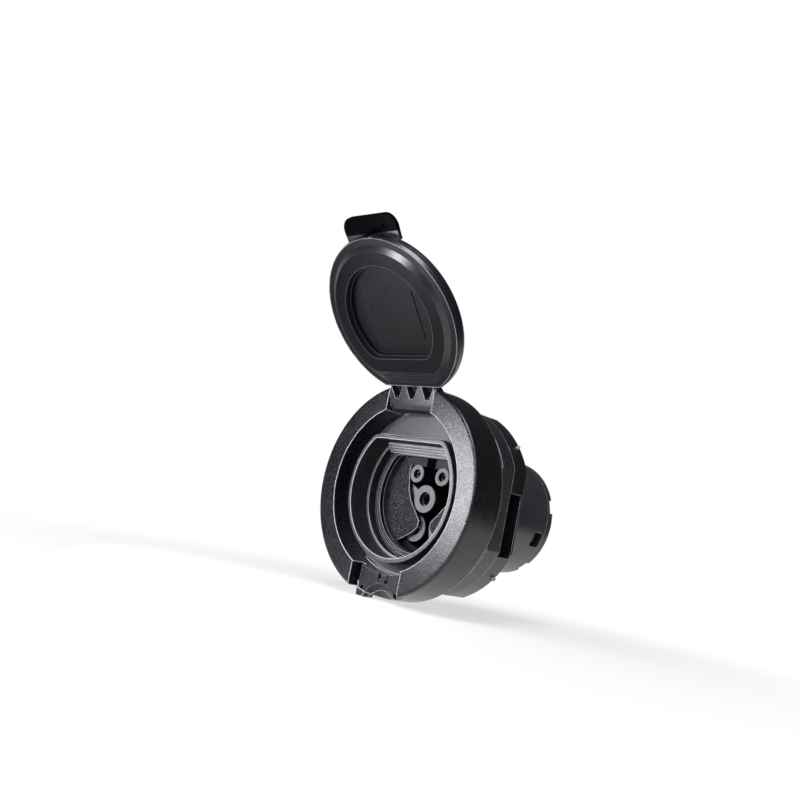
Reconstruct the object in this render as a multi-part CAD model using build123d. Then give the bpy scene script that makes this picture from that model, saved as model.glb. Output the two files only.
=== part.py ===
from build123d import *

import os
from math import atan2, cos, degrees, radians, sin

# EV charging socket: an inlet for a seven-contact plug, with a hinged round lid.
# Millimetres. X runs to the right of someone who faces the socket, Z runs up and
# Y runs into the panel. The origin is the centre of the bezel's rear face, which
# seats on the panel, so the front of the socket lies at negative Y.
# The lid is drawn closed and then swung open, as it stands at rest.

# Clearances
fit_gap = 0.15
seat_gap = 0.1
running_gap = 0.05
swing_gap = 0.4

# Bezel
bezel_r = 52.5
bezel_depth = 19.0
bezel_round = 1.6
bezel_width = 11.2
bezel_wall = 2.3
core_rib = 1.6
core_rib_count = 12
core_floor = 3.5
lug_reach = 1.4
lug_left = -15.5
lug_right = -8.0
lug_depth = 5.0
lug_round = 1.5
pocket_width = 34.0
pocket_depth = 5.0
pocket_reach = 3.3
scoop_r = 16.0
scoop_x = 0.8
scoop_set_in = 6.8
scoop_tilt = 50.0
gasket_groove_margin = 2.5
gasket_groove_width = 1.2
gasket_groove_depth = 1.5

# Catch plate in the finger pocket
catch_width = 29.4
catch_margin = 0.5
catch_thick = 2.5
catch_pad = 0.4
catch_pad_left = 5.2
catch_slot_depth = 2.2
finger_length = 3.9
finger_left = 0.0
finger_right = 3.7
finger_slot = 2.4
finger_side_slot = 1.5
finger_head_height = 2.4
finger_head = 1.5
pocket_notch_inner = 10.6
pocket_notch_outer = 13.2
pocket_notch_set_in = 4.1
pocket_notch_depth = 1.8

# Front housing with its shroud
housing_r = 49.2
housing_flat_cut = 4.2
housing_corner = 1.0
front_housing_depth = 15.0
seam_depth = 0.4
seam_y = 5.4
groove_floor = 4.0
ledge_height = 5.5
ledge_gap = 1.3
lip_height = 6.6
lip_half_width = 22.0
lip_thick = 1.3
shroud_set_back = 4.25
shroud_r = 35.3
shroud_flat_cut = 8.8
shroud_corner = 6.5
shroud_wall = 2.0
throat_step_y = -3.0
throat_inset = 3.0
throat_flat_inset = 2.6
throat_corner = 5.0
stair_count = 4
stair_run = 2.0
stair_front = -6.0
stair_set_in = 0.9
stair_fall = 3.4
seal_front = 2.0
seal_thick = 2.5
seal_width = 3.3
seal_flat_width = 4.6
chamber_front = 7.5
chamber_wall = 4.0

# Screws that hold bezel and housings together
screw_place = 31.5
screw_r = 1.6
screw_head_r = 3.6
screw_head_height = 2.2
screw_key_r = 1.3
screw_boss_r = 3.0
screw_tip_y = -11.0

# Contact carrier
carrier_front = 11.2
carrier_depth = 3.8
carrier_body_gap = 0.2
carrier_wall = 1.5
carrier_floor = 4.0
floor_margin = 0.2
top_bar_half = 16.0
top_bar_low = 15.0
top_bar_high = 19.0
high_front = 5.0
low_front = 11.0
keyway = 6.5
power_sleeve_r = 6.95
power_entry_r = 3.6
power_bore_r = 3.05
power_contact_r = 4.6
signal_sleeve_r = 4.5
signal_entry_r = 2.4
signal_bore_r = 1.55
signal_contact_r = 2.8
contact_set_back = 2.3
contact_collar = 1.2
collar_thick = 3.0
contact_slit = 0.5
contact_slit_length = 9.0
contact_bore_length = 16.0

# Contact places in X and Z, and the depth of the sleeve's front
signal_x = 8.67
signal_z = 10.8
earth_z = -1.24
side_x = 17.0
side_z = -1.2
low_x = 8.5
low_z = -16.2
power_contacts = {
    "contact_pe": (0.0, earth_z, high_front),
    "contact_l1": (-side_x, side_z, low_front),
    "contact_n": (side_x, side_z, low_front),
    "contact_l2": (-low_x, low_z, low_front),
    "contact_l3": (low_x, low_z, low_front),
}
signal_contacts = {
    "contact_pp": (-signal_x, signal_z, high_front),
    "contact_cp": (signal_x, signal_z, high_front),
}

# Terminals behind the carrier
retainer_thick = 3.0
terminal_r = 6.2
terminal_step = 3.0
terminal_length = 14.0
wire_bore_r = 3.2
wire_bore_depth = 11.0
terminal_screw_r = 1.7
terminal_screw_length = 5.5
signal_tail = 10.0
signal_crimp_r = 1.6
retainer_screw_r = 1.4
retainer_screw_head_r = 2.4
retainer_screw_head = 1.6
retainer_screw_length = 6.0
retainer_screw_inset = 2.9
retainer_screw_angles = (34.3, 145.7, 270.0)

# Shutters, drawn for the left one
shutter_front = 8.0
shutter_thick = 2.6
shutter_pivot_x = 23.5
shutter_pivot_z = 21.0
shutter_hub_r = 3.2
shutter_pin_r = 1.25
shutter_pin_front = 5.4
shutter_pin_back = 14.6
shutter_spring_r = 2.3
shutter_spring_wire = 0.5
shutter_spring_turns = 3
shutter_pocket_r = 3.4
shutter_pocket_depth = 2.8

# Rear housing and terminal barrel
rear_housing_depth = 9.8
rear_wall = 3.0
slot_low = -22.0
slot_high = 8.7
slot_depth = 8.5
barrel_r = 30.2
barrel_wall = 2.3
barrel_shoulder = 0.5
barrel_end = 67.8
barrel_flange_r = 37.0
barrel_flange_front = 18.0
window_count = 3
window_angle = -18.7
window_span = 15.0
window_front = 59.4
window_length = 7.5
window_round = 1.6
ring_depth = 4.2
ring_width = 6.2
notch_count = 5
notch_angle = 17.3
notch_span = 14.0
notch_set_back = 2.5
wire_seal_thick = 5.0
wire_hole_r = 2.6

# Hinge
hinge_set_back = 3.65
hinge_rise = 2.5
hinge_slot_width = 30.8
hinge_slot_depth = 13.2
hinge_slot_reach = 11.1
roll_r = 5.5
roll_forward = 2.6
roll_up = 2.2
roll_tilt = 21.5
pin_r = 1.25
pin_reach = 22.0
hinge_spring_r = 1.9
hinge_spring_wire = 0.5
hinge_spring_turns = 9
spring_room_r = 2.0
spring_room_half = 5.0
open_angle = 139.5

# Lid, with depths measured from its closed gasket face towards the front
lid_edge_gap = 0.35
lid_gap = 0.3
lid_height = 8.3
lid_face = 1.7
lid_round = 2.6
lid_skin = 2.0
lid_rim = 0.8
lid_lead_in = 0.5
lid_lead_in_depth = 1.6
lid_flat_cut = 4.45
lid_corner = 3.0
tab_front = 9.0
tab_back = 6.8
tab_overlap = 6.95
tab_reach = 8.65
tab_root_half = 17.0
tab_tip_half = 18.0
tab_corner = 6.5
tab_hole_r = 0.9
tab_hole_x = 9.4
tab_hole_set_in = 5.6
nose_width = 3.2
nose_height = 1.9
nose_step = 0.4
knuckle_pocket_width = 8.6
knuckle_pocket_tip = 2.4
knuckle_pocket_pitch = 10.4
knuckle_pocket_roof = 0.9
knuckle_pocket_depth = 2.6
recess_r = 26.5
recess_flat_cut = 7.0
recess_corner = 6.5
recess_depth = 5.0
recess_lip = 2.7
lip_wall = 0.9
panel_half = 16.15
panel_low = -12.3
panel_high = 12.9
panel_raise = 0.5
lid_gasket_margin = 3.95
lid_gasket_flat_cut = 3.7
lid_gasket_corner = 10.0
lid_gasket_seat = 1.6
lid_gasket_steps = 5
lid_gasket_slope = 0.5
lid_gasket_tread = 1.25

# Outlines drawn as points in X and Z: the inner edge and the outer arc of the left shutter,
# and the web between the earth sleeve and its neighbour
shutter_edge = [(-23.0, 19.4), (-18.8, 18.0), (-16.7, 16.2), (-16.8, 10.9), (-15.0, 2.7), (-12.4, -2.6),
                (-7.5, -8.3), (-4.1, -12.1), (-4.1, -15.6), (-7.3, -18.9), (-14.4, -23.0), (-16.6, -24.3)]
shutter_arc = [(-16.6, -24.3), (-29.8, -1.0), (-24.4, 18.8)]
earth_web = [(-9.8, 4.9), (-6.0, 3.2), (-3.0, -1.0), (-6.9, -1.2)]

# Sizes that follow from the values above
bore_r = bezel_r - bezel_width
finger_end = bore_r + finger_length
pocket_notch_top = bezel_r - pocket_notch_set_in
pocket_top = bore_r - pocket_reach
scoop_peak = bezel_r - scoop_set_in
gasket_groove_r = bezel_r - gasket_groove_margin
housing_flat = housing_r - housing_flat_cut
shroud_flat = shroud_r - shroud_flat_cut
throat_r = shroud_r - throat_inset
throat_flat = shroud_flat - throat_flat_inset
stair_top = throat_flat - stair_set_in
ledge_low = shroud_flat + ledge_gap
seal_inner_r = throat_r - seal_width
seal_inner_flat = throat_flat - seal_flat_width
chamber_r = housing_flat - chamber_wall
carrier_body_r = barrel_r - barrel_wall - carrier_body_gap
carrier_recess_r = carrier_body_r - carrier_wall
carrier_recess_back = low_front + contact_set_back + contact_bore_length + floor_margin
carrier_back = carrier_recess_back + carrier_floor
terminal_front = carrier_back + retainer_thick + terminal_step
terminal_back = terminal_front + terminal_length
signal_tail_back = carrier_back + retainer_thick + signal_tail
retainer_screw_reach = carrier_body_r - retainer_screw_inset
retainer_screw_places = [
    (retainer_screw_reach * cos(radians(angle)), retainer_screw_reach * sin(radians(angle)))
    for angle in retainer_screw_angles
]
ring_inner_r = barrel_r - ring_width
bezel_front = -bezel_depth
hinge_y = bezel_front + hinge_set_back
hinge_z = bore_r + hinge_rise
roll_y = hinge_y - roll_forward
roll_z = hinge_z + roll_up
lid_r = bore_r - lid_edge_gap
lid_cut = lid_r - lid_flat_cut
tab_root = lid_r - tab_overlap
tab_tip = lid_r + tab_reach
tab_hole_low = tab_tip - tab_hole_set_in
recess_flat = recess_r - recess_flat_cut
lid_gasket_r = lid_r - lid_gasket_margin
lid_gasket_flat = lid_gasket_r - lid_gasket_flat_cut
shroud_front = bezel_front + shroud_set_back
parting_y = front_housing_depth
housing_back = parting_y + rear_housing_depth
lid_gasket_y = shroud_front - lid_gap
lid_front = lid_gasket_y - lid_height
lid_face_y = lid_gasket_y - lid_face
screw_corners = [(x, z) for x in (-screw_place, screw_place) for z in (-screw_place, screw_place)]


def slab(outline, front, back):
    """Solid of an outline drawn in X and Z, between two depths along Y."""
    return extrude(Plane.XZ.offset(-front) * outline, amount=front - back)


def rod(x, z, radius, front, back):
    """Round bar along Y."""
    return slab(Pos(x, z) * Circle(radius), front, back)


def side_slab(outline, left, right):
    """Solid of an outline drawn in Y and Z, between two places along X."""
    return extrude(Plane.YZ.offset(left) * outline, amount=right - left)


def bar(y, z, radius, left, right):
    """Round bar along X."""
    return side_slab(Pos(y, z) * Circle(radius), left, right)


def box(left, right, front, back, low, high):
    """Block given by its six sides."""
    centre = Pos((left + right) / 2, (front + back) / 2, (low + high) / 2)
    return centre * Box(right - left, back - front, high - low)


def cut_circle(radius, flat, corner):
    """Circle cut level at the top, with rounded corners."""
    side = 2.4 * radius
    shape = Circle(radius) & Pos(0, flat - side / 2) * Rectangle(side, side)
    return fillet(shape.vertices(), corner)


def ring_sector(outer, inner, angle, span):
    """Piece of a flat ring, centred on an angle from X."""
    reach = 2 * outer
    sides = (radians(angle - span / 2), radians(angle + span / 2))
    edges = [(reach * cos(side), reach * sin(side)) for side in sides]
    return (Circle(outer) - Circle(inner)) & make_face(Polyline((0, 0), *edges, close=True))


def coil(radius, wire, turns, pitch):
    """Round wire wound along Z."""
    path = Helix(pitch=pitch, height=pitch * turns, radius=radius)
    section = Plane(origin=path @ 0, z_dir=path % 0) * Circle(wire / 2)
    return sweep(section, path=path)


def swing_lid(closed_shape):
    """Turns a piece of the closed lid about the hinge to its open rest place."""
    hinge = Axis((0, hinge_y, hinge_z), (1, 0, 0))
    return closed_shape.rotate(hinge, -open_angle)


# The round bezel, cored and ribbed behind, with the hinge slot and the finger pocket
def make_front_bezel():
    ring = slab(Circle(bezel_r), bezel_front, 0)
    ring = fillet(ring.edges().group_by(Axis.Y)[0], bezel_round)
    ring -= slab(Circle(bore_r), bezel_front, 0)

    slot_floor = bezel_front + hinge_slot_depth
    slot_low = bore_r - hinge_slot_reach
    pocket_floor = bezel_front + pocket_depth
    hinge_block = Pos(0, bezel_r) * Rectangle(2 * pin_reach + 2 * bezel_wall, 2 * (bezel_r - slot_low))
    pocket_block = Pos(0, -bezel_r) * Rectangle(pocket_width + 2 * bezel_wall, 2 * (bezel_r - pocket_top))
    core = Circle(gasket_groove_r - bezel_wall) - Circle(bore_r + bezel_wall)
    core -= hinge_block
    core -= pocket_block
    for x, z in screw_corners:
        core -= Pos(x, z) * Circle(screw_boss_r)
    for index in range(core_rib_count):
        core -= Rot(0, 0, index * 360 / core_rib_count) * Pos(bezel_r, 0) * Rectangle(bezel_r, core_rib)
    ring -= slab(core, bezel_front + core_floor, 0)

    half_slot = hinge_slot_width / 2
    ring -= box(-half_slot, half_slot, bezel_front - 1, slot_floor, slot_low, bezel_r + 1)
    ring -= bar(hinge_y, hinge_z, pin_r + running_gap, -bezel_r, pin_reach + seat_gap)
    half_pocket = pocket_width / 2
    plate_back = pocket_floor + catch_thick
    ring -= box(-half_pocket, half_pocket, bezel_front - 1, plate_back, -bezel_r - 1, -pocket_top)
    lug_height = lug_reach + bezel_width / 2
    lug_middle = ((lug_left + lug_right) / 2, lug_height / 2 - bezel_r - lug_reach)
    lug = Pos(*lug_middle) * Rectangle(lug_right - lug_left, lug_height)
    lug = fillet(lug.vertices().group_by(Axis.Y)[0], lug_round)
    plate_room = slab(catch_outline(seat_gap), bezel_front, plate_back)
    ring += slab(lug, pocket_floor, pocket_floor + lug_depth) - plate_room
    ring -= finger_scoop()

    groove = Circle(gasket_groove_r + gasket_groove_width) - Circle(gasket_groove_r)
    ring -= slab(groove, -gasket_groove_depth, 0)
    for x, z in screw_corners:
        ring -= rod(x, z, screw_r + running_gap, screw_tip_y - 1, 0)
    return ring


def finger_scoop():
    """Slanted round cut that leaves a hollow slope for a fingertip below the pocket."""
    across, along = sin(radians(scoop_tilt)), cos(radians(scoop_tilt))
    pocket_floor = bezel_front + pocket_depth
    middle = (scoop_x, pocket_floor - scoop_r * across, -scoop_peak - scoop_r * along)
    return Plane(origin=middle, x_dir=(1, 0, 0), z_dir=(0, along, -across)) * Cylinder(scoop_r, 5 * scoop_r)


def catch_outline(grow):
    """Outline of the catch plate, between the bore and the bezel's edge."""
    ring = Circle(bezel_r - catch_margin + grow) - Circle(bore_r - grow)
    return ring & Pos(0, -bezel_r) * Rectangle(catch_width + 2 * grow, 2 * (bezel_r - pocket_top))


# Plate on the pocket's floor: a springy finger between two slots, and a raised pad
def make_catch_plate():
    floor = bezel_front + pocket_depth
    plate = slab(catch_outline(0), floor, floor + catch_thick)
    pad = catch_outline(0) & Pos((catch_pad_left + catch_width / 2) / 2, -bezel_r) * Rectangle(
        catch_width / 2 - catch_pad_left, 2 * (bezel_r - bore_r) + pocket_reach)
    plate += slab(pad, floor - catch_pad, floor)
    slot_back = floor + catch_slot_depth
    slots = ((finger_left - finger_slot, finger_left), (finger_right, finger_right + finger_side_slot))
    for left, right in slots:
        plate -= box(left, right, floor - 1, slot_back, -finger_end, -pocket_top)
    for side in (-1, 1):
        left, right = sorted((side * pocket_notch_inner, side * pocket_notch_outer))
        plate -= box(left, right, floor - 1, floor + pocket_notch_depth, -bezel_r, -pocket_notch_top)
    head_front = floor - finger_head_height
    plate += box(finger_left, finger_right, head_front, floor, -finger_end, finger_head - finger_end)
    return plate - finger_scoop()


def make_panel_gasket():
    ring = Circle(gasket_groove_r + gasket_groove_width) - Circle(gasket_groove_r)
    return slab(ring, -gasket_groove_depth, 0)


def housing_outline():
    """Round outline with four flats, shared by both housing halves."""
    shape = Circle(housing_r) & Rectangle(2 * housing_flat, 2 * housing_flat)
    return fillet(shape.vertices(), housing_corner)


# Shroud, ledge, groove floor and shutter chamber in one moulding
def make_front_housing():
    spigot_r = bore_r - fit_gap
    body = slab(housing_outline(), 0, parting_y)
    body -= slab(Circle(bezel_r) - Circle(housing_r - seam_depth), seam_y, seam_y + seam_depth)
    body += slab(Circle(spigot_r), -groove_floor, 0)
    ledge = Circle(spigot_r) & Pos(0, ledge_low + spigot_r) * Rectangle(2 * spigot_r, 2 * spigot_r)
    body += slab(ledge, -ledge_height, 0)
    lip_top = lip_thick - spigot_r
    lip_ends = -(spigot_r ** 2 - lip_half_width ** 2) ** 0.5
    lip_rise = lip_top - lip_ends
    lip_r = (lip_half_width ** 2 + lip_rise ** 2) / (-2 * lip_rise)
    lip = Circle(spigot_r) - Pos(0, lip_top + lip_r) * Circle(lip_r)
    body += slab(lip, -lip_height, 0)
    shroud = slab(cut_circle(shroud_r, shroud_flat, shroud_corner), shroud_front, 0)
    body += fillet(shroud.edges().group_by(Axis.Y)[0], shroud_wall / 4)

    mouth = cut_circle(shroud_r - shroud_wall, shroud_flat - shroud_wall, shroud_corner - shroud_wall)
    throat = cut_circle(throat_r, throat_flat, throat_corner)
    seal_back = seal_front + seal_thick
    body -= slab(mouth, shroud_front - 1, throat_step_y)
    body -= slab(throat, throat_step_y, seal_back)
    body -= slab(cut_circle(seal_inner_r, seal_inner_flat, throat_corner), seal_back, chamber_front)
    body -= rod(0, 0, chamber_r, chamber_front, parting_y)

    stair_drop = stair_fall / (stair_count - 1)
    for index in range(stair_count):
        low = stair_top - index * stair_drop
        front = stair_front + index * stair_run
        tread = throat & Pos(0, low + throat_r) * Rectangle(2 * throat_r, 2 * throat_r)
        body += slab(tread, front, seal_front)

    for side in (-1, 1):
        pin_x = side * shutter_pivot_x
        body -= rod(pin_x, shutter_pivot_z, shutter_pin_r, shutter_pin_front, chamber_front)
    for x, z in screw_corners:
        body -= rod(x, z, screw_r + running_gap, 0, parting_y)
    return body


# Soft ring at the bottom of the throat, with a groove that makes two lips
def make_mouth_seal():
    outer = cut_circle(throat_r - seat_gap, throat_flat - seat_gap, throat_corner)
    inner = cut_circle(seal_inner_r, seal_inner_flat, throat_corner)
    ring = slab(outer - inner, seal_front, seal_front + seal_thick)
    lip = (throat_r - seal_inner_r) / 3
    groove = cut_circle(seal_inner_r + 1.7 * lip, seal_inner_flat + 1.7 * lip, throat_corner)
    groove -= cut_circle(seal_inner_r + lip, seal_inner_flat + lip, throat_corner)
    return ring - slab(groove, seal_front, seal_front + lip)


# Cup that carries the sleeves, with a flange held in the chamber and a floor behind
def make_contact_carrier():
    flange_back = carrier_front + carrier_depth
    block = rod(0, 0, chamber_r - fit_gap, carrier_front, flange_back)
    block += rod(0, 0, carrier_body_r, flange_back, carrier_recess_back)
    block -= rod(0, 0, carrier_recess_r, carrier_front, carrier_recess_back)
    for side in (-1, 1):
        pin_x = side * shutter_pivot_x
        pocket_back = carrier_front + shutter_pocket_depth
        block -= rod(pin_x, shutter_pivot_z, shutter_pocket_r, carrier_front, pocket_back)
        block -= rod(pin_x, shutter_pivot_z, shutter_pin_r, carrier_front, shutter_pin_back)
    return block


# Plate that the sleeves stand on, with a seat for each contact's collar
def make_carrier_plate():
    plate = rod(0, 0, carrier_body_r, carrier_recess_back, carrier_back)
    for x, z, front in power_contacts.values():
        plate -= contact_room(x, z, carrier_recess_back, power_contact_r)
    for x, z, front in signal_contacts.values():
        plate -= contact_room(x, z, carrier_recess_back, signal_contact_r)
    hole_front = carrier_back + retainer_thick - retainer_screw_length - 2 * seat_gap
    for x, z in retainer_screw_places:
        plate -= rod(x, z, retainer_screw_r, hole_front, carrier_back)
    return plate


def contact_room(x, z, front, contact_r):
    """Bore for one contact, with a wide seat for its collar at the carrier's back."""
    room = rod(x, z, contact_r + seat_gap, front, carrier_back)
    collar_r = contact_r + contact_collar + seat_gap
    return room + rod(x, z, collar_r, carrier_back - collar_thick, carrier_back)


# Sleeve that stands on the carrier's floor round one contact, with a narrow entry
def make_sleeve(x, z, front, sleeve_r, entry_r, contact_r):
    sleeve = rod(x, z, sleeve_r, front, carrier_recess_back)
    sleeve -= rod(x, z, entry_r, front, front + contact_set_back)
    return sleeve - rod(x, z, contact_r + seat_gap, front + contact_set_back - seat_gap, carrier_recess_back)


def make_power_sleeve(name):
    x, z, front = power_contacts[name]
    sleeve = make_sleeve(x, z, front, power_sleeve_r, power_entry_r, power_contact_r)
    if name == "contact_pe":
        web = slab(make_face(Polyline(*earth_web, close=True)), front, carrier_recess_back)
        pp_x, pp_z, pp_front = signal_contacts["contact_pp"]
        web -= rod(pp_x, pp_z, signal_sleeve_r + seat_gap, front, carrier_recess_back)
        sleeve += web - rod(x, z, (power_sleeve_r + power_contact_r) / 2, front, carrier_recess_back)
    return sleeve


def make_signal_sleeve(name):
    x, z, front = signal_contacts[name]
    return make_sleeve(x, z, front, signal_sleeve_r, signal_entry_r, signal_contact_r)


# Bar above the signal sleeves, with the keyway for the plug's rib
def make_keyway_bar():
    bar_height = top_bar_high - top_bar_low
    outline = Pos(0, top_bar_low + bar_height / 2) * Rectangle(2 * top_bar_half, bar_height)
    key_bar = slab(outline, high_front, carrier_recess_back)
    key_bar -= box(-keyway / 2, keyway / 2, high_front, low_front, top_bar_low, top_bar_high)
    for x, z, front in signal_contacts.values():
        key_bar -= rod(x, z, signal_sleeve_r + seat_gap, high_front, carrier_recess_back)
    return key_bar


# Plate that holds the contacts' collars in the carrier
def make_contact_retainer():
    plate_back = carrier_back + retainer_thick
    plate = rod(0, 0, carrier_body_r, carrier_back, plate_back)
    for x, z, front in power_contacts.values():
        plate -= rod(x, z, power_contact_r + seat_gap, carrier_back, plate_back)
    for x, z, front in signal_contacts.values():
        plate -= rod(x, z, signal_contact_r + seat_gap, carrier_back, plate_back)
    for x, z in retainer_screw_places:
        plate -= rod(x, z, retainer_screw_r, carrier_back, plate_back)
    return plate


def make_retainer_screws():
    plate_back = carrier_back + retainer_thick
    screws = []
    for x, z in retainer_screw_places:
        screw = rod(x, z, retainer_screw_r, plate_back - retainer_screw_length - seat_gap, plate_back)
        screw += rod(x, z, retainer_screw_head_r, plate_back, plate_back + retainer_screw_head)
        screw -= rod(x, z, retainer_screw_r / 2, plate_back + retainer_screw_head / 2, terminal_front)
        screws.append(screw)
    return Compound(children=screws)


# Slotted contact tube with a collar and, on the power contacts, a screw terminal
def make_power_contact(x, z, front):
    start = front + contact_set_back
    contact = rod(x, z, power_contact_r, start, terminal_front)
    contact += rod(x, z, power_contact_r + contact_collar, carrier_back - collar_thick, carrier_back)
    contact += rod(x, z, terminal_r, terminal_front, terminal_back)
    contact -= rod(x, z, power_bore_r, start, start + contact_bore_length)
    contact -= contact_slits(x, z, power_contact_r, start)
    contact -= rod(x, z, wire_bore_r, terminal_back - wire_bore_depth, terminal_back)
    screw_y = terminal_back - wire_bore_depth / 2
    hole = Pos(x, screw_y, z + terminal_r) * Cylinder(terminal_screw_r, 2 * terminal_r)
    return contact - hole


def make_signal_contact(x, z, front):
    start = front + contact_set_back
    contact = rod(x, z, signal_contact_r, start, signal_tail_back)
    contact += rod(x, z, signal_contact_r + contact_collar, carrier_back - collar_thick, carrier_back)
    contact -= rod(x, z, signal_bore_r, start, start + contact_bore_length)
    contact -= contact_slits(x, z, signal_contact_r, start)
    return contact - rod(x, z, signal_crimp_r, signal_tail_back - wire_bore_depth / 2, signal_tail_back)


def contact_slits(x, z, radius, start):
    """Crossed slits that let the contact's fingers spring."""
    end = start + contact_slit_length
    half = contact_slit / 2
    reach = radius + seat_gap
    slits = box(x - reach, x + reach, start, end, z - half, z + half)
    return slits + box(x - half, x + half, start, end, z - reach, z + reach)


def make_terminal_screws():
    screw_y = terminal_back - wire_bore_depth / 2
    screws = []
    for x, z, front in power_contacts.values():
        top = z + terminal_r
        middle = Pos(x, screw_y, top - terminal_screw_length / 2 + running_gap)
        screw = middle * Cylinder(terminal_screw_r, terminal_screw_length)
        key = Pos(x, screw_y, top) * Cylinder(terminal_screw_r / 2, terminal_screw_length / 2)
        screws.append(screw - key)
    return Compound(children=screws)


# One shutter: a plate that covers two contacts, with its pivot hub (left one drawn)
def make_shutter(side):
    closing = Line(shutter_arc[-1], shutter_edge[0])
    outline = make_face([Polyline(*shutter_edge), ThreePointArc(*shutter_arc), closing])
    outline += Pos(-shutter_pivot_x, shutter_pivot_z) * Circle(shutter_hub_r)
    outline -= Pos(-shutter_pivot_x, shutter_pivot_z) * Circle(shutter_pin_r + running_gap)
    plate = slab(outline, shutter_front, shutter_front + shutter_thick)
    return plate if side < 0 else mirror(plate, about=Plane.YZ)


def make_shutter_pin(side):
    return rod(side * shutter_pivot_x, shutter_pivot_z, shutter_pin_r, shutter_pin_front, shutter_pin_back)


# Return spring of a shutter, wound on its pivot pin in a pocket of the carrier
def make_shutter_spring(side):
    pitch = (shutter_pocket_depth - 2 * shutter_spring_wire) / shutter_spring_turns
    spring = coil(shutter_spring_r, shutter_spring_wire, shutter_spring_turns, pitch)
    start = carrier_front + shutter_spring_wire
    return Pos(side * shutter_pivot_x, start, shutter_pivot_z) * Rot(-90, 0, 0) * spring


# Rear housing half with the side slot and the four screw seats
def make_rear_housing():
    body = slab(housing_outline(), parting_y, housing_back)
    body -= rod(0, 0, chamber_r, parting_y, housing_back - rear_wall)
    body -= rod(0, 0, barrel_r + barrel_shoulder + fit_gap, parting_y, housing_back)
    body -= box(housing_flat - slot_depth, housing_r, parting_y, parting_y + slot_depth, slot_low, slot_high)
    for x, z in screw_corners:
        body -= rod(x, z, screw_r + running_gap, parting_y, housing_back)
    return body


def make_housing_screws():
    screws = []
    for x, z in screw_corners:
        screw = rod(x, z, screw_r, screw_tip_y, housing_back)
        head = rod(x, z, screw_head_r, housing_back, housing_back + screw_head_height)
        screw += fillet(head.edges().group_by(Axis.Y)[-1], screw_head_height / 3)
        socket_back = housing_back + screw_head_height / 3
        key = slab(Pos(x, z) * RegularPolygon(screw_key_r, 6), socket_back, terminal_front)
        screws.append(screw - key)
    return Compound(children=screws)


# Barrel round the terminals, with a flange held in the rear housing and windows
def make_terminal_barrel():
    barrel = rod(0, 0, barrel_r, parting_y, barrel_end)
    barrel += rod(0, 0, barrel_r + barrel_shoulder, parting_y, housing_back)
    barrel += rod(0, 0, barrel_flange_r, barrel_flange_front, housing_back - rear_wall)
    barrel -= rod(0, 0, barrel_r - barrel_wall, parting_y, barrel_end)
    window_width = 2 * barrel_r * sin(radians(window_span / 2))
    window_middle = window_front + window_length / 2
    for index in range(window_count):
        shape = Plane.XY * RectangleRounded(window_length, window_width, window_round)
        cutter = Pos(0, 0, barrel_r) * extrude(shape, amount=barrel_wall * 2, both=True)
        turned = Rot(0, 90 - window_angle - index * 360 / window_count, 0) * Rot(0, 0, 90) * cutter
        barrel -= Pos(0, window_middle, 0) * turned
    return barrel


def make_barrel_end_ring():
    ring_back = barrel_end + ring_depth
    ring = rod(0, 0, barrel_r, barrel_end, ring_back)
    ring = fillet(ring.edges().group_by(Axis.Y)[-1], ring_depth / 6)
    ring -= rod(0, 0, ring_inner_r, barrel_end, ring_back)
    for index in range(notch_count):
        angle = notch_angle + index * 360 / notch_count
        notch = ring_sector(barrel_r + 1, ring_inner_r - 1, angle, notch_span)
        ring -= slab(notch, ring_back - notch_set_back, ring_back)
    return ring


# Soft disc inside the barrel's end with a hole for each wire
def make_wire_seal():
    seal = rod(0, 0, barrel_r - barrel_wall - seat_gap, barrel_end - wire_seal_thick, barrel_end)
    for x, z, front in power_contacts.values():
        seal -= rod(x, z, wire_hole_r, barrel_end - wire_seal_thick, barrel_end)
    for x, z, front in signal_contacts.values():
        seal -= rod(x, z, wire_hole_r / 2, barrel_end - wire_seal_thick, barrel_end)
    return seal


def lid_outline(inset):
    """Round lid cut level at the hinge side, smaller by the inset all round."""
    return cut_circle(lid_r - inset, lid_cut - inset, lid_corner)


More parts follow.
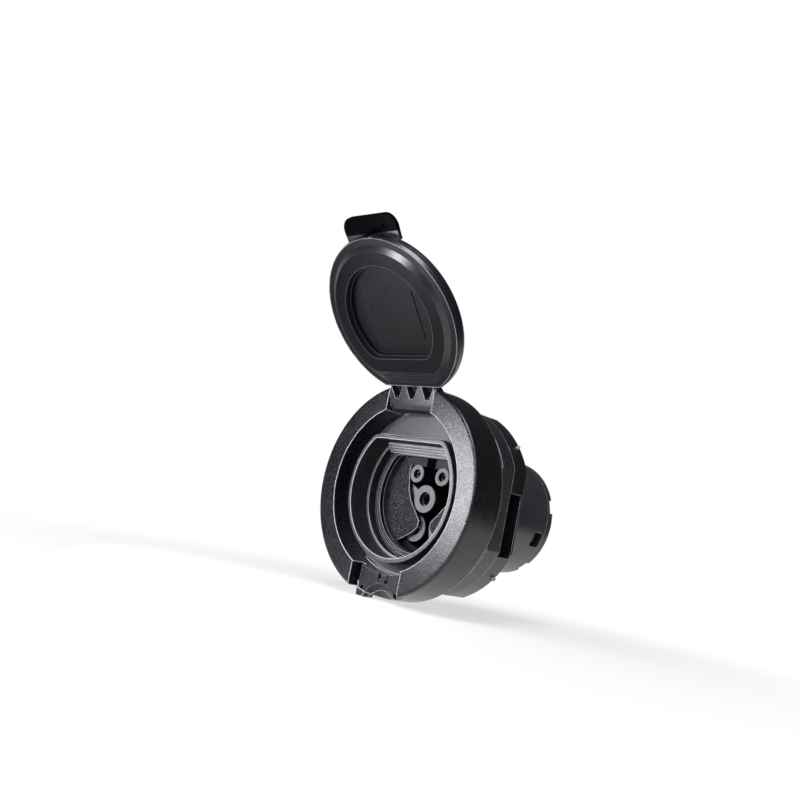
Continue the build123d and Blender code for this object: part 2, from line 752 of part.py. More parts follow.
# Lid shell with the hinge knuckle, the finger tab and the snap nose, drawn closed
def make_lid_cover():
    shell = slab(lid_outline(0), lid_front, lid_face_y)
    shell = fillet(shell.edges().group_by(Axis.Y)[0], lid_round)
    back = shell.faces().sort_by(Axis.Y)[-1]
    shell = chamfer(back.edges(), lid_lead_in, lid_lead_in_depth, reference=back)
    shell -= slab(lid_outline(lid_rim), lid_front + lid_skin, lid_face_y)

    tab = make_face(Polyline((-tab_root_half, -tab_root), (tab_root_half, -tab_root),
                             (tab_tip_half, -tab_tip), (-tab_tip_half, -tab_tip), close=True))
    tab = fillet(tab.vertices().group_by(Axis.Y)[0], tab_corner)
    tab -= Pos(tab_hole_x, -tab_hole_low) * Circle(tab_hole_r)
    tab -= Circle(lid_r - lid_rim)
    shell += slab(tab, lid_gasket_y - tab_front, lid_gasket_y - tab_back)
    nose_middle = (finger_left + finger_right) / 2
    nose_root = lid_r - lid_rim
    tab_inner_y = lid_gasket_y - tab_back
    nose_tip = lid_r + nose_height
    nose = make_face(Polyline((lid_face_y + nose_step, -nose_root), (lid_face_y - nose_step, -nose_tip),
                              (tab_inner_y, nose_height / 2 - nose_tip), (tab_inner_y, -nose_root), close=True))
    shell += side_slab(nose, nose_middle - nose_width / 2, nose_middle + nose_width / 2)

    half_knuckle = hinge_slot_width / 2 - swing_gap
    low = lid_cut - lid_rim
    tangent = (roll_y + roll_r * cos(radians(roll_tilt)), roll_z - roll_r * sin(radians(roll_tilt)))
    arm = make_face(Polyline((lid_front + lid_round, low), (roll_y - roll_r, roll_z), (roll_y, roll_z),
                             tangent, (lid_face_y, low), close=True))
    knuckle = side_slab(arm, -half_knuckle, half_knuckle)
    knuckle += bar(roll_y, roll_z, roll_r, -half_knuckle, half_knuckle)
    roof = hinge_z - pin_r - knuckle_pocket_roof
    half, tip = knuckle_pocket_width / 2, knuckle_pocket_tip / 2
    for index in (-1, 0, 1):
        middle = index * knuckle_pocket_pitch
        wedge = make_face(Polyline((middle - half, low), (middle + half, low), (middle + tip, roof),
                                   (middle - tip, roof), close=True))
        knuckle -= slab(wedge, lid_face_y - knuckle_pocket_depth, roll_y + roll_r)
    knuckle -= bar(hinge_y, hinge_z, pin_r + running_gap, -half_knuckle, half_knuckle)
    knuckle -= bar(hinge_y, hinge_z, spring_room_r, -spring_room_half, spring_room_half)
    return swing_lid(shell + knuckle)


# Inner moulding of the lid: flat band, gasket seat, recess and raised panel
def make_lid_liner():
    inset = lid_rim + 2 * seat_gap
    floor_y = lid_gasket_y - recess_depth
    liner = slab(lid_outline(inset), lid_front + lid_skin, lid_face_y)
    lip = cut_circle(recess_r + lip_wall, recess_flat + lip_wall, recess_corner + lip_wall)
    recess = cut_circle(recess_r, recess_flat, recess_corner)
    seat_y = lid_face_y - lid_gasket_seat
    seat = cut_circle(lid_gasket_r + seat_gap, lid_gasket_flat + seat_gap, lid_gasket_corner)
    liner -= slab(seat - lip, seat_y, lid_face_y)
    liner -= slab(lip, lid_gasket_y - recess_lip, lid_face_y)
    liner -= slab(recess, floor_y, lid_face_y)
    panel_middle = (panel_high + panel_low) / 2
    panel = Pos(0, -panel_middle) * RectangleRounded(2 * panel_half, panel_high - panel_low, lip_wall)
    liner += slab(panel, floor_y, floor_y + panel_raise)
    return swing_lid(liner)


# Lid gasket, a soft ring with a sloping side and with steps at the hinge side
def make_lid_gasket():
    seat_y = lid_face_y - lid_gasket_seat
    rise = lid_face / lid_gasket_steps
    slope = degrees(atan2(lid_gasket_slope, rise))
    ring = slab(cut_circle(lid_gasket_r, lid_gasket_flat, lid_gasket_corner), seat_y, lid_face_y)
    for index in range(lid_gasket_steps):
        radius = lid_gasket_r - index * lid_gasket_slope
        flat = lid_gasket_flat - index * lid_gasket_tread
        base = Plane.XZ.offset(-lid_face_y - index * rise) * cut_circle(radius, flat, lid_gasket_corner)
        ring += extrude(base, amount=-rise, taper=slope)
    hole_grow = lip_wall + seat_gap
    hole = cut_circle(recess_r + hole_grow, recess_flat + hole_grow, recess_corner + hole_grow)
    return swing_lid(ring - slab(hole, seat_y, lid_gasket_y))


def make_hinge_pin():
    return bar(hinge_y, hinge_z, pin_r, -pin_reach, pin_reach)


# Opening spring wound round the hinge pin inside the knuckle
def make_hinge_spring():
    length = 2 * spring_room_half - 2 * hinge_spring_wire
    pitch = length / hinge_spring_turns
    spring = coil(hinge_spring_r - hinge_spring_wire / 2, hinge_spring_wire, hinge_spring_turns, pitch)
    return Pos(-length / 2, hinge_y, hinge_z) * Rot(0, 90, 0) * spring


parts = {
    "front_bezel": make_front_bezel(),
    "catch_plate": make_catch_plate(),
    "panel_gasket": make_panel_gasket(),
    "front_housing": make_front_housing(),
    "mouth_seal": make_mouth_seal(),
    "contact_carrier": make_contact_carrier(),
    "carrier_plate": make_carrier_plate(),
    "keyway_bar": make_keyway_bar(),
    "contact_retainer": make_contact_retainer(),
    "retainer_screws": make_retainer_screws(),
    "terminal_screws": make_terminal_screws(),
    "left_shutter": make_shutter(-1),
    "right_shutter": make_shutter(1),
    "left_shutter_pin": make_shutter_pin(-1),
    "right_shutter_pin": make_shutter_pin(1),
    "left_shutter_spring": make_shutter_spring(-1),
    "right_shutter_spring": make_shutter_spring(1),
    "rear_housing": make_rear_housing(),
    "housing_screws": make_housing_screws(),
    "terminal_barrel": make_terminal_barrel(),
    "barrel_end_ring": make_barrel_end_ring(),
    "wire_seal": make_wire_seal(),
    "lid_cover": make_lid_cover(),
    "lid_liner": make_lid_liner(),
    "lid_gasket": make_lid_gasket(),
    "hinge_pin": make_hinge_pin(),
    "hinge_spring": make_hinge_spring(),
}
for name, place in power_contacts.items():
    parts[name] = make_power_contact(*place)
    parts[name.replace("contact", "sleeve")] = make_power_sleeve(name)
for name, place in signal_contacts.items():
    parts[name] = make_signal_contact(*place)
    parts[name.replace("contact", "sleeve")] = make_signal_sleeve(name)

os.makedirs("parts", exist_ok=True)
for name, shape in parts.items():
    export_step(shape, f"parts/{name}.step")
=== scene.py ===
from math import cos, radians, sin

import bmesh
import bpy
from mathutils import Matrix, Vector


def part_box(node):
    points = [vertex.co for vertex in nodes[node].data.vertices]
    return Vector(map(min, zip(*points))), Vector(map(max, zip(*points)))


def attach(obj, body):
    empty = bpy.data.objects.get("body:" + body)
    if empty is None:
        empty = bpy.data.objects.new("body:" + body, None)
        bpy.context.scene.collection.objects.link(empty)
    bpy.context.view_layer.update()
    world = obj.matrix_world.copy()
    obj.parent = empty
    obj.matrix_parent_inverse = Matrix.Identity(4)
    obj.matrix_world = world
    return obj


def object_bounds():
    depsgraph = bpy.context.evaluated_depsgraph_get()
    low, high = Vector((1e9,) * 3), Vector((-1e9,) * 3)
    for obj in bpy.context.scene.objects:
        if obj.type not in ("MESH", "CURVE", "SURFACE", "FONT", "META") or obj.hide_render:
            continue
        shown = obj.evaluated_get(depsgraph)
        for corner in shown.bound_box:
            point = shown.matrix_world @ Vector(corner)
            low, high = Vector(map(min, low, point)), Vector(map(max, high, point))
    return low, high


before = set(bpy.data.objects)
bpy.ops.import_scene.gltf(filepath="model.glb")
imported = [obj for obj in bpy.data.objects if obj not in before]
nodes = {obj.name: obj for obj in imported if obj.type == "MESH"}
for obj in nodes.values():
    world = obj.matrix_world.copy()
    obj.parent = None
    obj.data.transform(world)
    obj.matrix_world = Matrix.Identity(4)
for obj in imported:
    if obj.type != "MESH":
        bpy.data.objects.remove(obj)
cad_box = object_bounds()

# Camera. The photograph looks at the socket from its right front, a little from
# below, and leans to one side. Place and turn were worked out from the round edges.
MM = 0.001
camera_place = Vector((332.9, -344.1, -19.9)) * MM
camera_turn = (97.85, -11.54, 44.68)
focal_pixels = 959.8
image_pixels = 800
camera_data = bpy.data.cameras.new("photo_camera")
camera_data.sensor_width = 36.0
camera_data.lens = focal_pixels / image_pixels * camera_data.sensor_width
camera_data.clip_start = 0.01
camera = bpy.data.objects.new("photo_camera", camera_data)
camera.location = camera_place
camera.rotation_euler = [radians(angle) for angle in camera_turn]
bpy.context.collection.objects.link(camera)
bpy.context.scene.camera = camera
bpy.context.scene.view_settings.view_transform = "Standard"


class Tone:
    """A value that changes over a surface. Plain operators on it add Math nodes."""

    def __init__(self, tree, socket):
        self.tree = tree
        self.socket = socket

    @staticmethod
    def node(tree, kind, settings, sockets, output=0):
        """Adds a node, with its settings first, and wraps one of its outputs."""
        made = tree.nodes.new(kind)
        for name, value in settings.items():
            setattr(made, name, value)
        for key, value in sockets.items():
            if isinstance(value, Tone):
                value.feed(made.inputs[key])
            else:
                made.inputs[key].default_value = value
        return Tone(tree, made.outputs[output])

    def feed(self, target):
        self.tree.links.new(self.socket, target)

    def math(self, operation, *values):
        sockets = dict(enumerate(values))
        return Tone.node(self.tree, "ShaderNodeMath", {"operation": operation}, sockets)

    def __add__(self, other):
        return self.math("ADD", self, other)

    def __sub__(self, other):
        return self.math("SUBTRACT", self, other)

    def __rsub__(self, other):
        return self.math("SUBTRACT", other, self)

    def __mul__(self, other):
        return self.math("MULTIPLY", self, other)

    __radd__ = __add__
    __rmul__ = __mul__

    def clamp(self):
        return Tone.node(self.tree, "ShaderNodeClamp", {}, {"Value": self})

    def ramp(self, low, high):
        """0 below low, 1 above high and a smooth rise between."""
        settings = {"interpolation_type": "SMOOTHSTEP"}
        sockets = {"Value": self, "From Min": low, "From Max": high}
        return Tone.node(self.tree, "ShaderNodeMapRange", settings, sockets)


def new_finish(name, roughness, specular=0.5):
    """Material with a plain surface shader. Returns it with its tree, shader and place."""
    material = bpy.data.materials.new(name)
    material.use_nodes = True
    tree = material.node_tree
    shader = tree.nodes["Principled BSDF"]
    shader.inputs["Roughness"].default_value = roughness
    shader.inputs["Specular IOR Level"].default_value = specular
    place = Tone.node(tree, "ShaderNodeTexCoord", {}, {}, "Object")
    return material, tree, shader, place


def speckle(tree, place, size, detail=2.0, rough=0.5):
    """Random light and dark patches of a size in millimetres."""
    sockets = {"Vector": place, "Scale": 1.0 / (size * MM), "Detail": detail, "Roughness": rough}
    return Tone.node(tree, "ShaderNodeTexNoise", {}, sockets)


def blend_colour(tree, share, first, second):
    """Goes from the first colour to the second. Each is a triple or another blend."""
    first_socket, second_socket, colour_output = 6, 7, 2
    opaque = [colour if isinstance(colour, Tone) else (*colour, 1.0) for colour in (first, second)]
    sockets = {"Factor": share, first_socket: opaque[0], second_socket: opaque[1]}
    return Tone.node(tree, "ShaderNodeMix", {"data_type": "RGBA"}, sockets, colour_output)


def along(tree, vector, direction):
    """How far a vector reaches in a direction."""
    settings = {"operation": "DOT_PRODUCT"}
    return Tone.node(tree, "ShaderNodeVectorMath", settings, {0: vector, 1: direction}, "Value")


def blend_shader(tree, share, first, second):
    """Covers the first surface with the second by a share, and makes it the material's."""
    mixed = Tone.node(tree, "ShaderNodeMixShader", {}, {0: share, 1: first, 2: second})
    mixed.feed(tree.nodes["Material Output"].inputs["Surface"])


def true_normal(tree):
    return Tone.node(tree, "ShaderNodeNewGeometry", {}, {}, "Normal")


def rounded_normal(tree, radius):
    """Normal with the moulded edges rounded to a radius in millimetres."""
    return Tone.node(tree, "ShaderNodeBevel", {"samples": 6}, {"Radius": radius * MM})


def open_air(tree, reach):
    """1 on open surfaces and 0 deep in corners, seen over a reach in millimetres."""
    settings = {"samples": 6, "only_local": True}
    return Tone.node(tree, "ShaderNodeAmbientOcclusion", settings, {"Distance": reach * MM}, "AO")


def grained_normal(tree, normal, height, strength, reach=0.1):
    """Lays a grain over a normal. Its reach is in millimetres."""
    sockets = {"Strength": strength, "Distance": reach * MM, "Height": height, "Normal": normal}
    return Tone.node(tree, "ShaderNodeBump", {}, sockets)


def moulded_plastic(name, dark, light, roughness, grain, grain_depth, edge_round=0.3,
                    specular=0.5, painted_glints=0.0, edge_highlight_colour=(0.10, 0.10, 0.11), edge_highlight_share=0.7):
    """Black moulding: cloudy tone and fine grain, with painted glints on raised specks, painted
    highlights on edges and painted shade in corners.
    """
    cloud_size, cloud_share, cloud_gloss = 14.0, 0.4, 0.10
    grain_share, grain_gloss, grain_reach, grain_range = 0.5, 0.08, 0.16, (0.32, 0.68)
    glint_size, glint_rise, painted_glint_light, glint_range = grain * 0.7, 0.5, 0.07, (0.60, 0.70)
    corner_reach, corner_shade, corner_range = 1.6, 0.7, (0.35, 0.75)
    tone_drop = 0.1
    least_highlight, highlight_change, highlight_range = 0.8, 0.4, (0.003, 0.07)
    material, tree, shader, place = new_finish(name, roughness, specular)
    cloud = speckle(tree, place, cloud_size, detail=3.0)
    fine = speckle(tree, place, grain, detail=2.0, rough=0.6).ramp(*grain_range)
    speck_and_painted_glint = speckle(tree, place, glint_size, detail=1.0).ramp(*glint_range)
    rounded = rounded_normal(tree, edge_round)
    edges = (1 - along(tree, rounded, true_normal(tree))).ramp(*highlight_range)
    corners = open_air(tree, corner_reach).ramp(*corner_range)
    # Painted glints: the tone is lighter on the raised specks.
    tone = (cloud * cloud_share + fine * grain_share - tone_drop + speck_and_painted_glint * painted_glints).clamp()
    # Painted shade: the tone is darker in corners and creases.
    tone = tone * (corners * corner_shade + (1 - corner_shade))
    # Painted highlights along edges: the colour turns towards the edge highlight colour.
    painted_highlight = edges * corners * (fine * highlight_change + least_highlight) * edge_highlight_share
    # Painted glints on the specks are added to the painted edge highlights.
    painted_highlight = (painted_highlight + speck_and_painted_glint * corners * painted_glints * painted_glint_light).clamp()
    colour = blend_colour(tree, painted_highlight, blend_colour(tree, tone, dark, light), edge_highlight_colour)
    colour.feed(shader.inputs["Base Color"])
    gloss = roughness + (fine - 0.5) * grain_gloss + (cloud - 0.5) * cloud_gloss
    gloss.clamp().feed(shader.inputs["Roughness"])
    height = fine + speck_and_painted_glint * glint_rise
    normal = grained_normal(tree, rounded, height, grain_depth, grain * grain_reach)
    normal.feed(shader.inputs["Normal"])
    return material


def dress(material, *names):
    """Gives a finish to pieces of the socket."""
    for name in names:
        for slot in nodes[name].material_slots:
            slot.material = material


# Front bezel. Black moulding with painted highlights on its edges and painted glints in its grain.
bezel_plastic = moulded_plastic(
    "bezel_plastic", dark=(0.001, 0.001, 0.002), light=(0.005, 0.0045, 0.007), roughness=0.29,
    grain=0.60, grain_depth=0.30, edge_round=0.6, specular=0.58, painted_glints=0.8,
    edge_highlight_colour=(0.75, 0.75, 0.80), edge_highlight_share=1.0)
dress(bezel_plastic, "front_bezel")

# Catch plate. The insert in the finger pocket, moulded in a coarser black grain. Its
# sprung finger holds the lid's hook, and the plate is pressed into the bezel.
catch_plastic = moulded_plastic(
    "catch_plastic", dark=(0.002, 0.002, 0.003), light=(0.030, 0.030, 0.034), roughness=0.40,
    grain=0.8, grain_depth=0.6, edge_round=0.35, specular=0.30, painted_glints=1.2,
    edge_highlight_colour=(0.22, 0.22, 0.24), edge_highlight_share=0.8)
dress(catch_plastic, "catch_plate")

# Front housing. One black moulding with the D-shaped shroud, the ledge above it and
# the groove round it. Its grain has painted glints, seen on the ledge, and its rims have painted
# highlights.
shroud_plastic = moulded_plastic(
    "shroud_plastic", dark=(0.001, 0.001, 0.002), light=(0.014, 0.014, 0.018), roughness=0.40,
    grain=0.8, grain_depth=0.5, edge_round=0.55, specular=0.92, painted_glints=2.0,
    edge_highlight_colour=(0.75, 0.75, 0.80), edge_highlight_share=1.0)
dress(shroud_plastic, "front_housing")

# Rear housing. The smooth black half behind the front housing, moulded with a slot in
# its side and held by four long screws.
housing_plastic = moulded_plastic(
    "housing_plastic", dark=(0.003, 0.003, 0.005), light=(0.012, 0.012, 0.016), roughness=0.30,
    grain=0.6, grain_depth=0.04, edge_round=0.5, specular=0.80, edge_highlight_colour=(0.40, 0.40, 0.43))
dress(housing_plastic, "rear_housing")

# Snap pips. Four small domed studs on the flanks of the rear housing, near its back.
# They are taken to be moulded with it, and are coloured pale grey. What they catch can't be seen.
pip_radius = 0.95
pip_depth = 1.6
pip_sunk = 0.4
pip_dome_inset = 0.35
pip_dome_rise = 0.3
pip_round = 0.25
pip_places = {
    "right_upper_snap_pip": ((37.9, 22.6, 31.5), (0.77, 0.0, 0.64)),
    "left_upper_snap_pip": ((-37.9, 22.6, 31.5), (-0.77, 0.0, 0.64)),
    "right_lower_snap_pip": ((37.2, 23.4, -32.3), (0.77, 0.0, -0.64)),
    "left_lower_snap_pip": ((-37.2, 23.4, -32.3), (-0.77, 0.0, -0.64)),
}
pip_plastic = moulded_plastic(
    "pip_plastic", dark=(0.40, 0.40, 0.41), light=(0.60, 0.60, 0.62), roughness=0.35,
    grain=0.4, grain_depth=0.1)
bpy.ops.object.select_all(action="DESELECT")
bpy.ops.mesh.primitive_cylinder_add(
    vertices=32, radius=pip_radius * MM, depth=pip_depth * MM,
    location=(0, 0, (pip_depth / 2 - pip_sunk) * MM))
first_pip = bpy.context.object
bpy.ops.object.transform_apply(location=True, rotation=True, scale=True)
bpy.ops.object.mode_set(mode="EDIT")
bpy.ops.mesh.select_mode(type="FACE")
bpy.ops.mesh.select_all(action="DESELECT")
pip_faces = bmesh.from_edit_mesh(first_pip.data).faces
for face in pip_faces:
    is_top = face.normal.z > 0.9
    face.select_set(is_top)
bmesh.update_edit_mesh(first_pip.data)
bpy.ops.mesh.inset(thickness=pip_dome_inset * MM)
bpy.ops.transform.translate(value=(0, 0, pip_dome_rise * MM))
bpy.ops.object.mode_set(mode="OBJECT")
rounding = first_pip.modifiers.new("rounding", "BEVEL")
rounding.width = pip_round * MM
rounding.segments = 3
rounding.limit_method = "ANGLE"
rounding.angle_limit = radians(15)
bpy.ops.object.modifier_apply(modifier="rounding")
bpy.ops.object.shade_smooth()
first_pip.data.materials.append(pip_plastic)
for name, (foot, lean) in pip_places.items():
    pip = first_pip.copy()
    pip.data = first_pip.data.copy()
    pip.name = name
    bpy.context.collection.objects.link(pip)
    pip.location = Vector(foot) * MM
    pip.rotation_euler = Vector(lean).to_track_quat("Z", "Y").to_euler()
    bpy.ops.object.select_all(action="DESELECT")
    pip.select_set(True)
    bpy.context.view_layer.objects.active = pip
    bpy.ops.object.transform_apply(location=True, rotation=True, scale=True)
    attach(pip, "socket")
bpy.data.objects.remove(first_pip)

# Terminal barrel. A smooth black tube with windows, moulded for the cable end, and
# the notched ring that is pushed onto it. Both are a little greyer than the housing.
barrel_plastic = moulded_plastic(
    "barrel_plastic", dark=(0.016, 0.016, 0.020), light=(0.065, 0.065, 0.075), roughness=0.33,
    grain=0.6, grain_depth=0.04, edge_round=0.5, specular=0.80, edge_highlight_colour=(0.40, 0.40, 0.43))
dress(barrel_plastic, "terminal_barrel", "barrel_end_ring")

# Shutters. Two curved flaps of black plastic with a coarse grain, with painted glints
# in it and painted highlights on their edges. Each turns on a steel pin and hides the
# lower contacts until the plug pushes it aside.
shutter_plastic = moulded_plastic(
    "shutter_plastic", dark=(0.001, 0.001, 0.002), light=(0.034, 0.034, 0.038), roughness=0.45,
    grain=0.9, grain_depth=1.0, edge_round=0.6, specular=0.15, painted_glints=1.8,
    edge_highlight_colour=(0.80, 0.80, 0.80), edge_highlight_share=1.0)
dress(shutter_plastic, "left_shutter", "right_shutter")

# Contact carrier. The tube, its plate and the retainer behind it hold the contacts.
# They are moulded in smooth heat-resistant plastic, black in the well.
carrier_plastic = moulded_plastic(
    "carrier_plastic", dark=(0.003, 0.003, 0.004), light=(0.007, 0.007, 0.008), roughness=0.45,
    grain=0.3, grain_depth=0.1, edge_round=0.2, specular=0.10, edge_highlight_colour=(0.03, 0.03, 0.03))
dress(carrier_plastic, "contact_carrier", "carrier_plate", "contact_retainer")

# Keyway bar. The bar above the contacts, with its keyway and its web down to the
# earth sleeve, is moulded in the carrier's plastic and a little greyer at the front.
bar_plastic = moulded_plastic(
    "bar_plastic", dark=(0.012, 0.012, 0.013), light=(0.024, 0.024, 0.026), roughness=0.45,
    grain=0.4, grain_depth=0.2, edge_round=0.25, specular=0.2, edge_highlight_colour=(0.2, 0.2, 0.2))
dress(bar_plastic, "keyway_bar")


# Sleeves. A plastic ring stands round each contact and keeps fingers off it. Its end is
# painted pale grey as light falling on it, and its side is painted black as the shade down in the
# well.
def sleeve_plastic(name, end_y):
    painted_light_to, painted_shade_from = 0.15, 0.9
    painted_side_shade = (0.006, 0.006, 0.007)
    end_dark, end_light = (0.10, 0.10, 0.105), (0.21, 0.21, 0.215)
    grain, grain_share, grain_depth = 0.4, 0.6, 0.2
    cloud_size, cloud_share = 4.0, 0.4
    edge_round = 0.25
    material, tree, shader, place = new_finish(name, roughness=0.45, specular=0.15)
    fine = speckle(tree, place, grain, detail=2.0, rough=0.6)
    cloud = speckle(tree, place, cloud_size, detail=2.0)
    depth = Tone.node(tree, "ShaderNodeSeparateXYZ", {}, {0: place}, "Y")
    # Painted light and shade: the end face is pale grey and the side is black below it, by depth.
    end = 1 - depth.ramp((end_y + painted_light_to) * MM, (end_y + painted_shade_from) * MM)
    patchy = (fine * grain_share + cloud * cloud_share).clamp()
    grey = blend_colour(tree, patchy, end_dark, end_light)
    blend_colour(tree, end, painted_side_shade, grey).feed(shader.inputs["Base Color"])
    normal = grained_normal(tree, rounded_normal(tree, edge_round), fine, grain_depth)
    normal.feed(shader.inputs["Normal"])
    return material


for name in nodes:
    if name.startswith("sleeve_"):
        end_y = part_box(name)[0][1] / MM
        dress(sleeve_plastic(name + "_plastic", end_y), name)


# Contacts. Seven female contacts of turned brass, plated with silver, with faint
# turning marks and a few dull patches. They stand in the carrier's plate.
def plated_metal(name, bright, dull, roughness):
    patch_size, patch_gloss, patch_range = 3.0, 0.15, (0.42, 0.66)
    mark_size, mark_gloss, mark_depth = 0.2, 0.08, 0.1
    edge_round = 0.12
    material, tree, shader, place = new_finish(name, roughness)
    shader.inputs["Metallic"].default_value = 1.0
    patches = speckle(tree, place, patch_size, detail=3.0).ramp(*patch_range)
    marks = speckle(tree, place, mark_size, detail=1.0)
    blend_colour(tree, patches, bright, dull).feed(shader.inputs["Base Color"])
    gloss = roughness + patches * patch_gloss + marks * mark_gloss
    gloss.clamp().feed(shader.inputs["Roughness"])
    normal = grained_normal(tree, rounded_normal(tree, edge_round), marks, mark_depth)
    normal.feed(shader.inputs["Normal"])
    return material


contact_plating = plated_metal("contact_plating", bright=(0.30, 0.29, 0.27),
                               dull=(0.16, 0.155, 0.14), roughness=0.30)
contact_names = ["contact_" + pin for pin in ("pp", "cp", "pe", "l1", "n", "l2", "l3")]
dress(contact_plating, *contact_names)

# Screws, pins and springs. All are steel with a bright zinc plating. The screws hold
# the housings, the retainer and the wires, and the pins carry the lid and shutters.
screw_zinc = plated_metal("screw_zinc", bright=(0.62, 0.62, 0.63), dull=(0.40, 0.40, 0.41),
                          roughness=0.32)
dress(screw_zinc, "housing_screws", "terminal_screws", "retainer_screws", "hinge_pin",
      "hinge_spring", "left_shutter_pin", "right_shutter_pin", "left_shutter_spring",
      "right_shutter_spring")

# Seals. Soft black rubber with a dull bloom, moulded as closed rings: one at the
# mouth of the shroud, one round the wires and one between the bezel and the panel.
# Their edges carry painted highlights.
seal_rubber = moulded_plastic(
    "seal_rubber", dark=(0.003, 0.003, 0.004), light=(0.009, 0.009, 0.011), roughness=0.50,
    grain=0.7, grain_depth=0.2, edge_round=0.45, specular=0.10,
    edge_highlight_colour=(0.65, 0.65, 0.67), edge_highlight_share=1.0)
dress(seal_rubber, "mouth_seal", "wire_seal", "panel_gasket")

# Lid gasket. A wide D-shaped rubber ring, pressed into the lid. Its flat face is dull,
# and its slopes are satin where the mould was smoother.
lid_open = 139.5
lid_lean = radians(lid_open - 90)
lid_inward = (0.0, -sin(lid_lean), -cos(lid_lean))
slope_range = (0.01, 0.06)
inward_range = (-0.3, -0.1)
gasket_rubber = moulded_plastic(
    "gasket_rubber", dark=(0.002, 0.002, 0.003), light=(0.008, 0.008, 0.009), roughness=0.34,
    grain=0.8, grain_depth=0.15, edge_round=0.4, specular=0.07, edge_highlight_colour=(0.20, 0.20, 0.21))
tree = gasket_rubber.node_tree
dull_face = Tone(tree, tree.nodes["Principled BSDF"].outputs[0])
satin_settings = {"Base Color": (0.010, 0.010, 0.014, 1.0), "Roughness": 0.30,
                  "Specular IOR Level": 0.70}
satin_slope = Tone.node(tree, "ShaderNodeBsdfPrincipled", {}, satin_settings)
level = along(tree, true_normal(tree), lid_inward)
slopes = (1 - level).ramp(*slope_range) * level.ramp(*inward_range)
blend_shader(tree, slopes, dull_face, satin_slope)
dress(gasket_rubber, "lid_gasket")

# Lid liner. The matt black inner moulding of the lid, with its recess and the raised
# panel in it. The gasket holds it in the lid's shell.
liner_plastic = moulded_plastic(
    "liner_plastic", dark=(0.003, 0.003, 0.004), light=(0.012, 0.012, 0.013), roughness=0.40,
    grain=0.8, grain_depth=0.2, edge_round=0.35, specular=0.11, edge_highlight_colour=(0.07, 0.07, 0.08))
dress(liner_plastic, "lid_liner")

# Lid cover. The round outer shell, moulded in black with its knuckle, hook and finger
# tab. It is satin all over but for the tab, which is polished.
tab_starts, tab_polished = 84.4, 85.0
tab_round = 0.5
lid_upward = (0.0, -cos(lid_lean), sin(lid_lean))
hinge_centre = Vector((0.0, -15.35, 43.8))
lid_plastic = moulded_plastic(
    "lid_plastic", dark=(0.005, 0.005, 0.007), light=(0.014, 0.014, 0.019), roughness=0.30,
    grain=0.6, grain_depth=0.03, edge_round=0.5, specular=0.60, edge_highlight_colour=(0.40, 0.40, 0.43))
tree = lid_plastic.node_tree
satin_shell = Tone(tree, tree.nodes["Principled BSDF"].outputs[0])
polish_settings = {"Base Color": (0.0025, 0.0025, 0.003, 1.0), "Roughness": 0.16,
                   "Specular IOR Level": 0.01, "Normal": rounded_normal(tree, tab_round)}
polished_tab = Tone.node(tree, "ShaderNodeBsdfPrincipled", {}, polish_settings)
place = Tone.node(tree, "ShaderNodeTexCoord", {}, {}, "Object")
hinge_reach = hinge_centre.dot(Vector(lid_upward))
reach = along(tree, place, lid_upward)
on_tab = reach.ramp((hinge_reach + tab_starts) * MM, (hinge_reach + tab_polished) * MM)
blend_shader(tree, on_tab, satin_shell, polished_tab)
dress(lid_plastic, "lid_cover")

# Floor. A plain sheet of pale paper at the lowest point of the socket. The camera
# sees it white, and so do reflections near the socket, and it keeps a soft shadow.
floor_size = 0.9
floor_level = cad_box[0][2]
shadow_share = 0.35
shadow_full, shadow_gone = 60, 260
mirror_full, mirror_gone = 150, 380
black, white = (0.0, 0.0, 0.0), (1.0, 1.0, 1.0)


def ray_kinds(tree):
    """Masks of the rays that come from the camera and from gloss or glass."""
    paths = tree.nodes.new("ShaderNodeLightPath")
    kinds = ("Is Camera Ray", "Is Glossy Ray", "Is Transmission Ray")
    from_camera, from_gloss, from_glass = [Tone(tree, paths.outputs[kind]) for kind in kinds]
    return from_camera, from_gloss + from_glass


bpy.ops.mesh.primitive_plane_add(size=floor_size, location=(0, 0, floor_level))
floor = bpy.context.object
floor.name = "floor"
floor_paper, tree, shader, place = new_finish("floor_paper", roughness=0.9, specular=0.1)
shader.inputs["Base Color"].default_value = (0.9, 0.9, 0.9, 1)
floor.data.materials.append(floor_paper)
from_camera, from_mirror = ray_kinds(tree)
spread = Tone.node(tree, "ShaderNodeVectorMath", {"operation": "LENGTH"}, {0: place}, "Value")
far = spread.ramp(shadow_full * MM, shadow_gone * MM)
near = 1 - spread.ramp(mirror_full * MM, mirror_gone * MM)
glow_colour = blend_colour(tree, (from_camera + near).clamp(), black, white)
glow = Tone.node(tree, "ShaderNodeEmission", {}, {"Color": glow_colour, "Strength": 1.0})
glowing = (from_camera * (far * shadow_share + (1 - shadow_share)) + from_mirror).clamp()
blend_shader(tree, glowing, Tone(tree, shader.outputs[0]), glow)

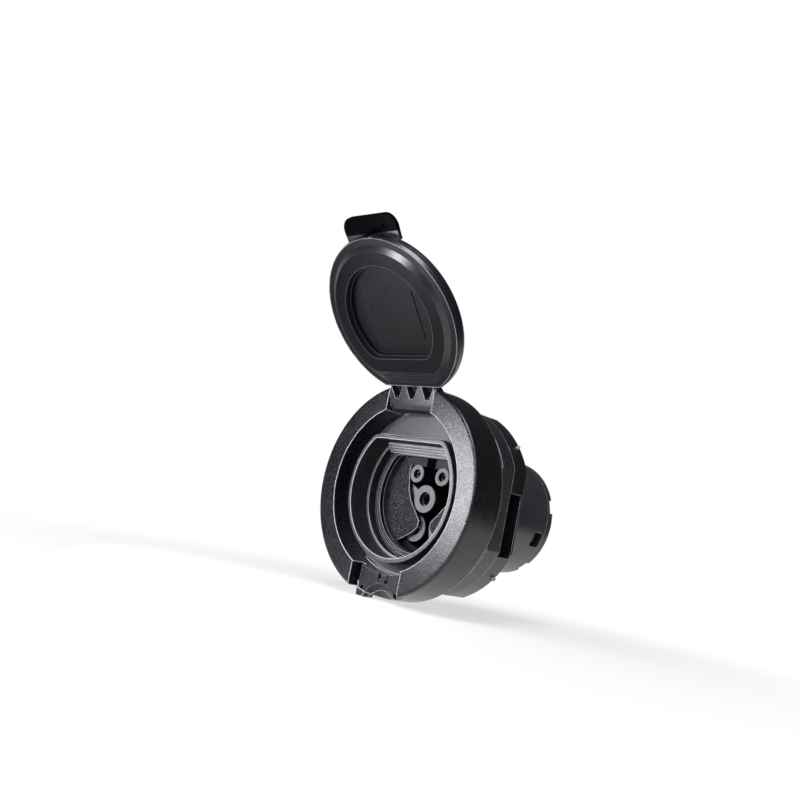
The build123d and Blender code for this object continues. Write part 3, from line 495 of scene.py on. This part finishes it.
# Studio. One white backdrop stands behind the socket and the rest of the room is dim.
# The camera sees it white, and so do reflections that fall on the backdrop.
dim_room = (0.06, 0.06, 0.06)
backdrop_side = tuple(Vector((-0.69, 0.72, 0.0)).normalized())
backdrop_fades, backdrop_full = 0.35, 0.75
backdrop_low, backdrop_high = 0.10, 0.35
studio = bpy.data.worlds.new("studio")
bpy.context.scene.world = studio
studio.use_nodes = True
tree = studio.node_tree
from_camera, from_mirror = ray_kinds(tree)
direction = Tone.node(tree, "ShaderNodeTexCoord", {}, {}, "Generated")
facing = along(tree, direction, backdrop_side)
height = Tone.node(tree, "ShaderNodeSeparateXYZ", {}, {0: direction}, "Z")
backdrop = facing.ramp(backdrop_fades, backdrop_full)
backdrop = backdrop * (1 - height.ramp(backdrop_low, backdrop_high))
lit = (from_camera + from_mirror * backdrop).clamp()
background = tree.nodes["Background"]
background.inputs["Strength"].default_value = 1.0
blend_colour(tree, lit, dim_room, white).feed(background.inputs["Color"])


# Lamps. A small soft lamp by the left front lays the sheen across the bezel, one far
# in front lights the lid's rim, and two large ones fill from above and the right.
def soft_lamp(name, place, aim, width, height, power, tint):
    """Soft light at a place in millimetres, turned towards another."""
    data = bpy.data.lights.new(name, "AREA")
    data.shape = "RECTANGLE"
    data.size = width * MM
    data.size_y = height * MM
    data.energy = power
    data.color = tint
    lamp = bpy.data.objects.new(name, data)
    lamp.location = Vector(place) * MM
    direction = (Vector(aim) - Vector(place)).normalized()
    lamp.rotation_euler = direction.to_track_quat("-Z", "Y").to_euler()
    lamp.visible_camera = False
    bpy.context.collection.objects.link(lamp)


cool_tint = (0.90, 0.92, 1.0)
soft_lamp("sheen_lamp", place=(-57, -140, 14), aim=(40, -15, 5), width=50, height=70,
          power=0.25, tint=(0.95, 0.91, 1.0))
soft_lamp("rim_lamp", place=(-60, -460, 92), aim=(20, -60, 100), width=100, height=100,
          power=1.05, tint=(0.88, 0.89, 1.0))
soft_lamp("top_lamp", place=(150, -220, 450), aim=(30, -60, 100), width=220, height=220,
          power=2.0, tint=cool_tint)
soft_lamp("front_lamp", place=(420, -520, 330), aim=(0, 0, 0), width=220, height=220,
          power=1.2, tint=white)
